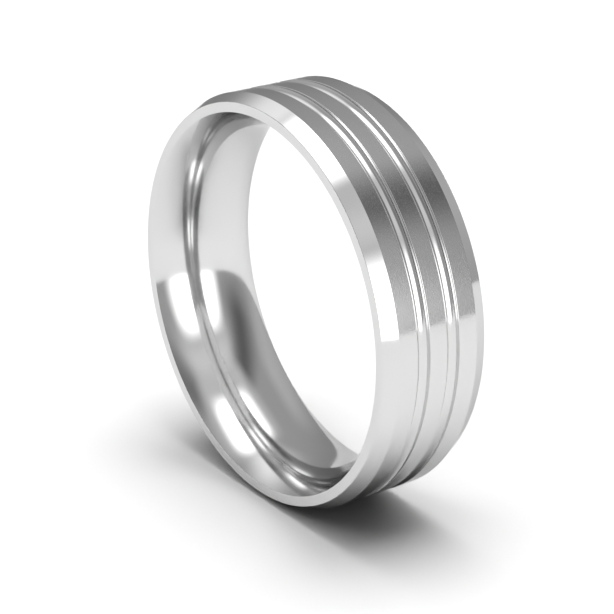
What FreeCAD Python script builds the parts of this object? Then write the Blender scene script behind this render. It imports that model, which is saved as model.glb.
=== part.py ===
"""A plain metal wedding band with bevelled edges, two turned grooves and a comfort-fit bore.

The band is one turned piece. Its axis is Y, its lowest point is straight below the axis on -Z,
and the origin is the centre of the ring. Sections are drawn in the YZ plane, where the sketch's
horizontal axis is the ring's own axis and the distance from it is the radius. Units: millimetres.
"""

import FreeCAD, Part
import os
import Sketcher

# Driving dimensions in millimetres: alias, value, what it is.
DIMENSIONS = [
    ("band_width", 6.0, "rim to rim, along the axis"),
    ("outer_diameter", 20.96, "over the three satin lands"),
    ("bore_diameter", 17.19, "at the crown of the comfort fit, where the finger touches"),
    ("bevel_width", 0.75, "bevel, along the axis"),
    ("bevel_drop", 0.36, "bevel, along the radius"),
    ("rim_width", 0.50, "flat rim face, along the radius"),
    ("groove_width", 0.72, "groove from lip to lip, along the axis"),
    ("groove_depth", 0.35, "groove, along the radius"),
    ("groove_offset", 0.86, "middle of the band to the middle of a groove"),
    ("edge_break", 0.03, "radius that polishing leaves on every edge"),
    ("cutter_clearance", 0.20, "how far a cutting section stands clear of the metal"),
]

# Places on the section that several corners share, as sheet expressions.
RIM = "dims.band_width / 2"
OUTSIDE = "dims.outer_diameter / 2"
CROWN = "dims.bore_diameter / 2"
BEVEL_FOOT = f"({OUTSIDE} - dims.bevel_drop)"
RIM_MOUTH = f"({BEVEL_FOOT} - dims.rim_width)"

FULL_TURN = 360.0
ORIGIN_POINT = (-1, 1)
EDGE_START, EDGE_END = 1, 2


def make_dimension_sheet(doc):
    """Put every driving dimension in a spreadsheet, one named cell per row."""
    sheet = doc.addObject("Spreadsheet::Sheet", "dims")
    for row, (alias, value, meaning) in enumerate(DIMENSIONS, start=1):
        sheet.set(f"A{row}", meaning)
        sheet.set(f"B{row}", str(value))
        sheet.setAlias(f"B{row}", alias)
    doc.recompute()
    return sheet


def origin_plane(body, role):
    """Find one of the body's own origin planes by its role."""
    for feature in body.Origin.OriginFeatures:
        if feature.Role == role:
            return feature
    raise RuntimeError(f"no origin plane with the role {role}")


def arc_radius_expression(half_chord, rise):
    """Give the radius of a circular arc from half its chord and its rise, as an expression."""
    return f"({half_chord} * {half_chord} + {rise} * {rise}) / (2 * {rise})"


def draw_section(body, name, corners, arc_rise=None):
    """Draw a closed section through (axial, radial) corners given as sheet expressions.

    Straight edges join the corners in order. The last corner returns to the first one by a
    straight edge or, with arc_rise, by an arc that bulges towards the ring's axis by that much.
    """
    sheet = body.Document.getObject("dims")
    sketch = body.newObject("Sketcher::SketchObject", name)
    sketch.AttachmentSupport = [(origin_plane(body, "YZ_Plane"), "")]
    sketch.MapMode = "FlatFace"

    places = [FreeCAD.Vector(*map(sheet.evalExpression, corner), 0) for corner in corners]
    edges = [sketch.addGeometry(Part.LineSegment(*pair)) for pair in zip(places, places[1:])]
    if arc_rise is None:
        edges.append(sketch.addGeometry(Part.LineSegment(places[-1], places[0])))
    else:
        middle = (places[0] + places[-1]) / 2 - FreeCAD.Vector(0, sheet.evalExpression(arc_rise), 0)
        edges.append(sketch.addGeometry(Part.Arc(places[-1], middle, places[0])))

    for edge, following in zip(edges, edges[1:] + edges[:1]):
        sketch.addConstraint(Sketcher.Constraint("Coincident", edge, EDGE_END, following, EDGE_START))
    for edge, corner, place in zip(edges, corners, places):
        bind(sketch, "DistanceX", *ORIGIN_POINT, edge, EDGE_START, place.x, expression=corner[0])
        bind(sketch, "DistanceY", *ORIGIN_POINT, edge, EDGE_START, place.y, expression=corner[1])
    if arc_rise is not None:
        half_chord = f"((({corners[0][0]}) - ({corners[-1][0]})) / 2)"
        radius = arc_radius_expression(half_chord, f"({arc_rise})")
        bind(sketch, "Radius", edges[-1], sheet.evalExpression(radius), expression=radius)
    return sketch


def bind(sketch, *constraint, expression):
    """Add a dimension to a sketch and let the sheet drive it."""
    index = sketch.addConstraint(Sketcher.Constraint(*constraint))
    sketch.setExpression(f"Constraints[{index}]", expression)


def turn(body, kind, name, sketch):
    """Sweep a section once round the ring's axis, adding metal or cutting it away."""
    feature = body.newObject(f"PartDesign::{kind}", name)
    feature.Profile = sketch
    feature.ReferenceAxis = (sketch, ["H_Axis"])
    feature.Angle = FULL_TURN
    body.Document.recompute()
    return feature


def turn_blank(body):
    """The plain blank: flat rims, cylindrical outside, bore domed inwards for a comfort fit."""
    corners = [
        (RIM, RIM_MOUTH),
        (RIM, OUTSIDE),
        (f"-{RIM}", OUTSIDE),
        (f"-{RIM}", RIM_MOUTH),
    ]
    sketch = draw_section(body, "BlankSection", corners, arc_rise=f"{RIM_MOUTH} - {CROWN}")
    return turn(body, "Revolution", "Blank", sketch)


def turn_bevel(body):
    """The bevel between the outside and one rim."""
    shoulder = f"{RIM} - dims.bevel_width"
    above = f"{OUTSIDE} + dims.cutter_clearance"
    beyond = f"{RIM} + dims.cutter_clearance"
    corners = [
        (shoulder, OUTSIDE),
        (RIM, BEVEL_FOOT),
        (beyond, BEVEL_FOOT),
        (beyond, above),
        (shoulder, above),
    ]
    return turn(body, "Groove", "Bevel", draw_section(body, "BevelSection", corners))


def turn_groove(body):
    """One round-bottomed groove in the outside."""
    near_lip = "dims.groove_offset - dims.groove_width / 2"
    far_lip = "dims.groove_offset + dims.groove_width / 2"
    above = f"{OUTSIDE} + dims.cutter_clearance"
    corners = [
        (far_lip, OUTSIDE),
        (far_lip, above),
        (near_lip, above),
        (near_lip, OUTSIDE),
    ]
    sketch = draw_section(body, "GrooveSection", corners, arc_rise="dims.groove_depth")
    return turn(body, "Groove", "TurnedGroove", sketch)


def mirror_cuts(body, cuts):
    """Repeat the cuts on the other half of the band."""
    mirrored = body.newObject("PartDesign::Mirrored", "OtherHalf")
    mirrored.Originals = cuts
    mirrored.MirrorPlane = (origin_plane(body, "XZ_Plane"), [""])
    body.Tip = mirrored
    body.Document.recompute()
    return mirrored


def break_edges(body, base):
    """Round every circular edge slightly, as polishing does."""
    circles = [
        f"Edge{number}"
        for number, edge in enumerate(base.Shape.Edges, start=1)
        if isinstance(edge.Curve, Part.Circle) and edge.isClosed()
    ]
    fillet = body.newObject("PartDesign::Fillet", "EdgeBreak")
    fillet.Base = (base, circles)
    fillet.setExpression("Radius", "dims.edge_break")
    body.Tip = fillet
    body.Document.recompute()
    return fillet


def make_band(doc):
    """Turn the whole band from one blank."""
    body = doc.addObject("PartDesign::Body", "band")
    body.Label = "band"
    blank = turn_blank(body)
    bevel = turn_bevel(body)
    groove = turn_groove(body)
    mirrored = mirror_cuts(body, [bevel, groove])
    rounded = break_edges(body, mirrored)
    body.Placement = FreeCAD.Placement()
    check_volumes_fall([blank, bevel, groove, mirrored, rounded])
    return body


def check_volumes_fall(steps):
    """Every step after the blank takes metal away, so each volume is less than the one before."""
    for before, after in zip(steps, steps[1:]):
        if after.Shape.Volume >= before.Shape.Volume:
            raise RuntimeError(f"{after.Label} removed no metal")


def check_document(doc):
    """Stop if any object failed to compute."""
    for item in doc.Objects:
        if "Invalid" in item.State or "Error" in item.State:
            raise RuntimeError(f"{item.Label} failed: {item.State}")


def export_sub_part(body):
    """Check one sub-part's shape and write it under its own name."""
    shape = body.Shape
    if shape.isNull() or not shape.isValid() or len(shape.Solids) != 1:
        raise RuntimeError(f"{body.Label} is not one valid solid")
    shape.exportStep(f"parts/{body.Label}.step")
    box = shape.optimalBoundingBox(True, False)
    sides = " x ".join(f"{side:.3f}" for side in (box.XLength, box.YLength, box.ZLength))
    print(f"{body.Label}: {shape.Volume:.2f} mm3, {sides} mm")


doc = FreeCAD.newDocument("wedding_band")
make_dimension_sheet(doc)
sub_parts = [make_band(doc)]
doc.recompute()
check_document(doc)
os.makedirs("parts", exist_ok=True)
for sub_part in sub_parts:
    export_sub_part(sub_part)
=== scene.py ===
"""The looks of a white-metal wedding band that stands on edge in a small photo studio.

The band is revolved from one section, much finer than the CAD mesh that it stands for, and it keeps
the CAD dimensions. Soft panels of light and shade, a pale floor and grey surroundings give the
metal its reflections, and two more panels light only the floor. The section is drawn in
millimetres, as on a workshop drawing; the rest is in metres.
"""

import math

import bpy
import numpy as np
from mathutils import Matrix, Vector


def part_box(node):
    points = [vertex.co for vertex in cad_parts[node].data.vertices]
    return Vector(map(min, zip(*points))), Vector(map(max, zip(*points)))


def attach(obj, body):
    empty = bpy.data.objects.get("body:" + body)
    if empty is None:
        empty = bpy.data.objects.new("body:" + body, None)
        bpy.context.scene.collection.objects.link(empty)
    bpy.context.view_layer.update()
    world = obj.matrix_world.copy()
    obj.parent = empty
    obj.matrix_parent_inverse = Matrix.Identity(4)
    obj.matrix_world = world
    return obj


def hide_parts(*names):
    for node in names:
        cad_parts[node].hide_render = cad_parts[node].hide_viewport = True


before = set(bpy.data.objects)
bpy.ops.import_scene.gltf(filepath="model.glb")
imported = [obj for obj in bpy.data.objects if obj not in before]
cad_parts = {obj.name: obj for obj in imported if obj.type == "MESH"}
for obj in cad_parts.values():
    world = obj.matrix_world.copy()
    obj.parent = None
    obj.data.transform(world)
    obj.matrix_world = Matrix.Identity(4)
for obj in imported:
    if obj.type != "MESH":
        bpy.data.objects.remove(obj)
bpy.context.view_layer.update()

MM = 0.001

# The band's section in millimetres. Its width and outer radius come from the CAD node's box.
BORE_CROWN_RADIUS = 8.595
BEVEL_WIDTH = 0.75
BEVEL_DROP = 0.36
RIM_WIDTH = 0.50
GROOVE_WIDTH = 0.72
GROOVE_DEPTH = 0.35
GROOVE_OFFSET = 0.86
EDGE_BREAK = 0.03

# How finely the band is cut into faces.
STEPS_ROUND = 480
BORE_STEPS = 56
GROOVE_STEPS = 24
CORNER_STEPS = 4

# The three finishes, as the band's material slots.
POLISHED, SATIN, SOFT = 0, 1, 2

# The metal's tone seen straight on, and the tint that darkens it at grazing angles.
WHITE_METAL = 0.68
EDGE_TINT = 0.60

# Roughness of each finish, from its smoothest places to its roughest.
POLISHED_ROUGHNESS = (0.06, 0.09)
SATIN_ROUGHNESS = (0.07, 0.18)
SOFT_ROUGHNESS = (0.09, 0.12)

# Noise patterns as (scale, detail): haze in the polish, and grain in the satin with its relief. The
# middle range of their values is stretched to the values wanted.
HAZE = (900, 2)
GRAIN = (14000, 1)
GRAIN_HEIGHT = 0.0016 * MM
GRAIN_STRENGTH = 0.8
NOISE_RANGE = (0.3, 0.7)

# The camera: its direction from the ring in degrees, with azimuth from -Y towards +X, its distance,
# and how far it sits below the line to the ring's centre.
CAMERA_AZIMUTH = 54.5
CAMERA_ELEVATION = 22.65
CAMERA_DISTANCE = 111.3 * MM
CAMERA_DROP = 0.70 * MM
CAMERA_LENS = 131.6
CAMERA_SENSOR = 36.0
CAMERA_CLIP = (1 * MM, 2.0)

# The round floor.
FLOOR_RADIUS = 116 * MM
FLOOR_STEPS = 128
FLOOR_TONE = 0.80

# The surroundings' tone as the metal reflects it, as it lights the floor, and as the camera sees it.
ROOM_TONE = 0.43
SHADE_TONE = 0.22
BACKDROP_TONE = 1.0

# Upright panels round the ring, which only the metal sees: azimuth from +Y towards +X, lowest and
# highest elevation and spread in degrees, light given off, how wide the soft edges are as a share
# of the smaller side, and distance. The flags are dark, and shade the reflections.
UPRIGHT_PANELS = {
    "right_softbox": (90, -24, 40, 76, 3.2, 0.41, 400 * MM),
    "left_wall": (-134, -24, 43, 72, 0.55, 0.50, 400 * MM),
    "left_fill": (-92, 12, 68, 72, 1.20, 0.50, 430 * MM),
    "right_flag": (31, -10, 66, 54, 0.14, 0.50, 400 * MM),
    "front_flag": (156, 4, 64, 60, 0.22, 0.50, 420 * MM),
    "right_wall": (92, 10, 76, 110, 0.80, 0.35, 440 * MM),
    "back_wall": (-14, -22, 38, 60, 0.60, 0.40, 440 * MM),
}

# Level panels overhead: middle and size as shares of their height, light, softness, height, and
# whether the metal or the floor sees them.
OVERHEAD_PANELS = {
    "overhead_softbox": ((-0.17, 0.0), (1.00, 1.05), 3.6, 0.34, 400 * MM, "metal"),
    "ceiling": ((0.0, 0.0), (1.60, 1.60), 0.68, 0.25, 420 * MM, "metal"),
    "key_light": ((0.0, 0.06), (1.20, 0.75), 6.5, 0.35, 400 * MM, "floor"),
    "strip_light": ((-0.08, 0.22), (1.30, 3.50), 2.1, 0.35, 420 * MM, "floor"),
}


def straight(start, end):
    """A straight stretch of the section: its length, and its place and direction along the way."""
    start, end = np.array(start), np.array(end)
    length = np.linalg.norm(end - start)
    along = (end - start) / length
    return length, lambda distance: (start + along * distance, along)


def bowed(start, end, rise):
    """A circular stretch between two corners at one radius, which bows towards the ring's axis."""
    start, end = np.array(start), np.array(end)
    way = np.sign(end[0] - start[0])
    half_chord = abs(end[0] - start[0]) / 2
    radius = (half_chord**2 + rise**2) / (2 * rise)
    centre = (start + end) / 2 + np.array([0, radius - rise])
    half_angle = math.asin(half_chord / radius)

    def at(distance):
        angle = distance / radius - half_angle
        place = centre + radius * np.array([way * math.sin(angle), -math.cos(angle)])
        return place, np.array([way * math.cos(angle), math.sin(angle)])

    return 2 * half_angle * radius, at


def section_stretches(half_width, outer_radius):
    """The closed section in order, as (stretch, steps, finish), with the metal on its right."""
    bevel_foot = outer_radius - BEVEL_DROP
    rim_mouth = bevel_foot - RIM_WIDTH
    shoulder = half_width - BEVEL_WIDTH
    near_lip = GROOVE_OFFSET - GROOVE_WIDTH / 2
    far_lip = GROOVE_OFFSET + GROOVE_WIDTH / 2
    outside = [(place, outer_radius) for place in
               (-shoulder, -far_lip, -near_lip, near_lip, far_lip, shoulder)]
    front_mouth, back_mouth = (-half_width, rim_mouth), (half_width, rim_mouth)
    front_foot, back_foot = (-half_width, bevel_foot), (half_width, bevel_foot)
    return [
        (straight(front_mouth, front_foot), 1, POLISHED),
        (straight(front_foot, outside[0]), 1, POLISHED),
        (straight(outside[0], outside[1]), 1, SATIN),
        (bowed(outside[1], outside[2], GROOVE_DEPTH), GROOVE_STEPS, SOFT),
        (straight(outside[2], outside[3]), 1, SATIN),
        (bowed(outside[3], outside[4], GROOVE_DEPTH), GROOVE_STEPS, SOFT),
        (straight(outside[4], outside[5]), 1, SATIN),
        (straight(outside[5], back_foot), 1, POLISHED),
        (straight(back_foot, back_mouth), 1, POLISHED),
        (bowed(back_mouth, front_mouth, rim_mouth - BORE_CROWN_RADIUS), BORE_STEPS, SOFT),
    ]


def corner_cut(before, after):
    """How far the rounding of a corner reaches along the two stretches that meet there."""
    (length, at_before), (_, at_after) = before, after
    turn = math.acos(np.clip(np.dot(at_before(length)[1], at_after(0)[1]), -1, 1))
    return EDGE_BREAK * math.tan(turn / 2)


def rounded_corner(start, start_along, end, end_along):
    """Places and directions strictly inside the small rounding between two stretches."""
    ahead, _ = np.linalg.solve(np.column_stack([start_along, end_along]), end - start)
    corner = start + start_along * ahead
    inside = []
    for share in np.arange(1, CORNER_STEPS) / CORNER_STEPS:
        first, second = start + (corner - start) * share, corner + (end - corner) * share
        along = second - first
        inside.append((first + along * share, along / np.linalg.norm(along)))
    return inside


def section_outline(half_width, outer_radius):
    """The section's points in order: places, outward normals, and the finish of each next edge."""
    stretches = section_stretches(half_width, outer_radius)
    shapes = [shape for shape, _, _ in stretches]
    cuts = [corner_cut(before, after) for before, after in zip(shapes[-1:] + shapes, shapes)]
    samples = []
    for ((length, at), steps, _), start, end in zip(stretches, cuts, cuts[1:] + cuts[:1]):
        samples.append([at(distance) for distance in np.linspace(start, length - end, steps + 1)])

    points, finishes = [], []
    for (_, steps, finish), sample, following in zip(stretches, samples, samples[1:] + samples[:1]):
        corner = rounded_corner(*sample[-1], *following[0])
        points += sample + corner
        finishes += [finish] * steps + [POLISHED] * (len(corner) + 1)
    places, directions = (np.array(column) for column in zip(*points))
    normals = np.column_stack([-directions[:, 1], directions[:, 0]])
    return places, normals, finishes


def swept(section, angles):
    """Turn (axial, radial) pairs round the ring's axis, +Y. One row of points for each pair."""
    axial = np.repeat(section[:, :1], len(angles), axis=1)
    radial = section[:, 1:]
    return np.stack([radial * np.cos(angles), axial, radial * np.sin(angles)], axis=2).reshape(-1, 3)


def make_band():
    """Revolve the section into one closed mesh, shaded by its exact normals."""
    low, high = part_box("band")
    half_width, outer_radius = (high.y - low.y) / 2 / MM, (high.z - low.z) / 2 / MM
    places, normals, finishes = section_outline(half_width, outer_radius)
    angles = np.linspace(0, 2 * math.pi, STEPS_ROUND, endpoint=False)

    faces, face_finishes = [], []
    for row, finish in enumerate(finishes):
        here, there = row * STEPS_ROUND, (row + 1) % len(finishes) * STEPS_ROUND
        for step in range(STEPS_ROUND):
            after = (step + 1) % STEPS_ROUND
            faces.append((here + step, there + step, there + after, here + after))
            face_finishes.append(finish)

    mesh = bpy.data.meshes.new("wedding_band")
    mesh.from_pydata(swept(places * MM, angles).tolist(), [], faces)
    mesh.polygons.foreach_set("material_index", face_finishes)
    mesh.shade_smooth()
    mesh.normals_split_custom_set_from_vertices(swept(normals, angles).tolist())
    band = bpy.data.objects.new("wedding_band", mesh)
    bpy.context.scene.collection.objects.link(band)
    band.location = (low + high) / 2
    return band


def new_material(name):
    """A new material, and its Principled shader."""
    material = bpy.data.materials.new(name)
    material.use_nodes = True
    return material, material.node_tree.nodes["Principled BSDF"]


def noise(material, scale, detail):
    """A noise pattern's value in the object's own space, mostly within NOISE_RANGE."""
    nodes, links = material.node_tree.nodes, material.node_tree.links
    pattern = nodes.new("ShaderNodeTexNoise")
    pattern.inputs["Scale"].default_value = scale
    pattern.inputs["Detail"].default_value = detail
    links.new(nodes.new("ShaderNodeTexCoord").outputs["Object"], pattern.inputs["Vector"])
    return pattern.outputs["Fac"]


def remapped(material, value, wanted):
    """A noise pattern stretched to the wanted range."""
    node = material.node_tree.nodes.new("ShaderNodeMapRange")
    for side, (least, most) in {"From": NOISE_RANGE, "To": wanted}.items():
        node.inputs[f"{side} Min"].default_value = least
        node.inputs[f"{side} Max"].default_value = most
    material.node_tree.links.new(value, node.inputs["Value"])
    return node.outputs["Result"]


def bumped(material, height):
    """A surface normal disturbed by the grain's height pattern."""
    node = material.node_tree.nodes.new("ShaderNodeBump")
    node.inputs["Distance"].default_value = GRAIN_HEIGHT
    node.inputs["Strength"].default_value = GRAIN_STRENGTH
    material.node_tree.links.new(height, node.inputs["Height"])
    return node.outputs["Normal"]


def white_metal(name):
    """The plain metal that every finish starts from, and its shader."""
    material, shader = new_material(name)
    shader.inputs["Base Color"].default_value = (WHITE_METAL, WHITE_METAL, WHITE_METAL, 1)
    shader.inputs["Metallic"].default_value = 1
    shader.inputs["Specular Tint"].default_value = (EDGE_TINT, EDGE_TINT, EDGE_TINT, 1)
    shader.distribution = "GGX"
    return material, shader


def buffed_metal(name, roughness):
    """Polish, with the faint uneven haze that a buffing wheel leaves."""
    material, shader = white_metal(name)
    haze = remapped(material, noise(material, *HAZE), roughness)
    material.node_tree.links.new(haze, shader.inputs["Roughness"])
    return material


def satin_metal():
    """Fine even satin: a sand-like grain over a slightly rough surface."""
    material, shader = white_metal("satin_white_metal")
    links = material.node_tree.links
    grain = noise(material, *GRAIN)
    links.new(remapped(material, grain, SATIN_ROUGHNESS), shader.inputs["Roughness"])
    links.new(bumped(material, grain), shader.inputs["Normal"])
    return material


def facing(place, target):
    """A rotation whose +Z looks from a place to a target, with +Y as near upright as it can be."""
    return (target - place).to_track_quat("Z", "Y").to_matrix().to_4x4()


def rectangle(name, width, height):
    """A flat rectangle in the XY plane with its middle at the origin."""
    corners = [(x * width / 2, y * height / 2, 0) for x, y in ((-1, -1), (1, -1), (1, 1), (-1, 1))]
    mesh = bpy.data.meshes.new(name)
    mesh.from_pydata(corners, [], [(0, 1, 2, 3)])
    panel = bpy.data.objects.new(name, mesh)
    bpy.context.scene.collection.objects.link(panel)
    return panel


def glowing(name, width, height, light, softness):
    """A panel's material: even light that fades to nothing towards the panel's edges."""
    material = bpy.data.materials.new(name)
    material.use_nodes = True
    nodes, links = material.node_tree.nodes, material.node_tree.links
    nodes.clear()

    away = nodes.new("ShaderNodeVectorMath")
    away.operation = "ABSOLUTE"
    links.new(nodes.new("ShaderNodeTexCoord").outputs["Object"], away.inputs[0])
    inside = nodes.new("ShaderNodeVectorMath")
    inside.operation = "SUBTRACT"
    inside.inputs[0].default_value = (width / 2, height / 2, 0)
    links.new(away.outputs[0], inside.inputs[1])
    split = nodes.new("ShaderNodeSeparateXYZ")
    links.new(inside.outputs[0], split.inputs[0])

    share = nodes.new("ShaderNodeMath")
    share.operation = "MULTIPLY"
    for axis in (0, 1):
        fade = nodes.new("ShaderNodeMapRange")
        fade.interpolation_type = "SMOOTHSTEP"
        fade.inputs["From Max"].default_value = softness * min(width, height)
        links.new(split.outputs[axis], fade.inputs["Value"])
        links.new(fade.outputs["Result"], share.inputs[axis])

    lamp = nodes.new("ShaderNodeEmission")
    lamp.inputs["Strength"].default_value = light
    mix = nodes.new("ShaderNodeMixShader")
    links.new(share.outputs[0], mix.inputs["Fac"])
    links.new(nodes.new("ShaderNodeBsdfTransparent").outputs[0], mix.inputs[1])
    links.new(lamp.outputs[0], mix.inputs[2])
    links.new(mix.outputs[0], nodes.new("ShaderNodeOutputMaterial").inputs["Surface"])
    return material


def make_panel(name, place, target, width, height, light, softness, seen_by):
    """A soft panel that the camera never sees: it shows in the metal or lights the floor."""
    panel = rectangle(name, width, height)
    panel.matrix_world = Matrix.Translation(place) @ facing(place, target)
    panel.data.materials.append(glowing(name, width, height, light, softness))
    panel.visible_camera = False
    panel.visible_diffuse = seen_by == "floor"
    panel.visible_glossy = seen_by == "metal"
    panel.visible_shadow = False


def make_panels():
    """The upright panels round the ring and the level ones over it."""
    for name, (azimuth, lowest, highest, spread, light, softness, far) in UPRIGHT_PANELS.items():
        bottom, top = (far * math.tan(math.radians(e)) for e in (lowest, highest))
        width, height = 2 * far * math.tan(math.radians(spread / 2)), top - bottom
        turn = math.radians(azimuth)
        inwards = Vector((0, 0, (bottom + top) / 2))
        place = inwards + far * Vector((math.sin(turn), math.cos(turn), 0))
        make_panel(name, place, inwards, width, height, light, softness, "metal")

    for name, (middle, size, light, softness, high, seen_by) in OVERHEAD_PANELS.items():
        width, depth = (share * high for share in size)
        place = Vector((*middle, 1)) * high
        below = Vector((place.x, place.y, 0))
        make_panel(name, place, below, width, depth, light, softness, seen_by)


def make_floor():
    """A round pale table top that the band stands on."""
    low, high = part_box("band")
    centre = (low + high) / 2
    angles = [2 * math.pi * step / FLOOR_STEPS for step in range(FLOOR_STEPS)]
    rim = [(centre.x + FLOOR_RADIUS * math.cos(a), centre.y + FLOOR_RADIUS * math.sin(a), low.z)
           for a in angles]
    mesh = bpy.data.meshes.new("floor")
    mesh.from_pydata(rim, [], [tuple(range(FLOOR_STEPS))])
    floor = bpy.data.objects.new("floor", mesh)
    bpy.context.scene.collection.objects.link(floor)
    material, shader = new_material("pale_floor")
    shader.inputs["Base Color"].default_value = (FLOOR_TONE, FLOOR_TONE, FLOOR_TONE, 1)
    shader.inputs["Roughness"].default_value = 1
    shader.inputs["Specular IOR Level"].default_value = 0
    mesh.materials.append(material)


def tone_for(world, kind_of_ray, tone):
    """A node that gives one kind of ray its own tone, and passes its A input to the others."""
    mix = world.node_tree.nodes.new("ShaderNodeMix")
    mix.data_type = "FLOAT"
    world.node_tree.links.new(kind_of_ray, mix.inputs["Factor"])
    mix.inputs["B"].default_value = tone
    return mix


def make_surroundings():
    """Grey surroundings in the reflections, and a white backdrop behind the floor's far edge."""
    world = bpy.data.worlds.new("studio")
    bpy.context.scene.world = world
    world.use_nodes = True
    nodes, links = world.node_tree.nodes, world.node_tree.links
    nodes.clear()
    rays = nodes.new("ShaderNodeLightPath")
    indoors = tone_for(world, rays.outputs["Is Glossy Ray"], ROOM_TONE)
    indoors.inputs["A"].default_value = SHADE_TONE
    outside = tone_for(world, rays.outputs["Is Camera Ray"], BACKDROP_TONE)
    links.new(indoors.outputs["Result"], outside.inputs["A"])
    background = nodes.new("ShaderNodeBackground")
    links.new(outside.outputs["Result"], background.inputs["Color"])
    links.new(background.outputs[0], nodes.new("ShaderNodeOutputWorld").inputs["Surface"])


def make_camera():
    """A long lens that looks down on the ring from its front right, held level."""
    low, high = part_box("band")
    azimuth, elevation = math.radians(CAMERA_AZIMUTH), math.radians(CAMERA_ELEVATION)
    back = Vector((math.sin(azimuth) * math.cos(elevation),
                   -math.cos(azimuth) * math.cos(elevation),
                   math.sin(elevation)))
    right = Vector((math.cos(azimuth), math.sin(azimuth), 0))
    up = back.cross(right)
    data = bpy.data.cameras.new("camera")
    data.lens = CAMERA_LENS
    data.sensor_width = CAMERA_SENSOR
    data.clip_start, data.clip_end = CAMERA_CLIP
    camera = bpy.data.objects.new("camera", data)
    bpy.context.scene.collection.objects.link(camera)
    place = (low + high) / 2 + back * CAMERA_DISTANCE - up * CAMERA_DROP
    turned = Matrix((right, up, back)).transposed().to_4x4()
    camera.matrix_world = Matrix.Translation(place) @ turned
    bpy.context.scene.camera = camera


band = make_band()
finishes = (
    buffed_metal("polished_white_metal", POLISHED_ROUGHNESS),
    satin_metal(),
    buffed_metal("softly_buffed_white_metal", SOFT_ROUGHNESS),
)
for finish in finishes:
    band.data.materials.append(finish)
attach(band, "root")
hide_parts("band")

make_floor()
make_panels()
make_surroundings()
make_camera()
bpy.context.scene.view_settings.view_transform = "Standard"
bpy.context.scene.cycles.caustics_reflective = False
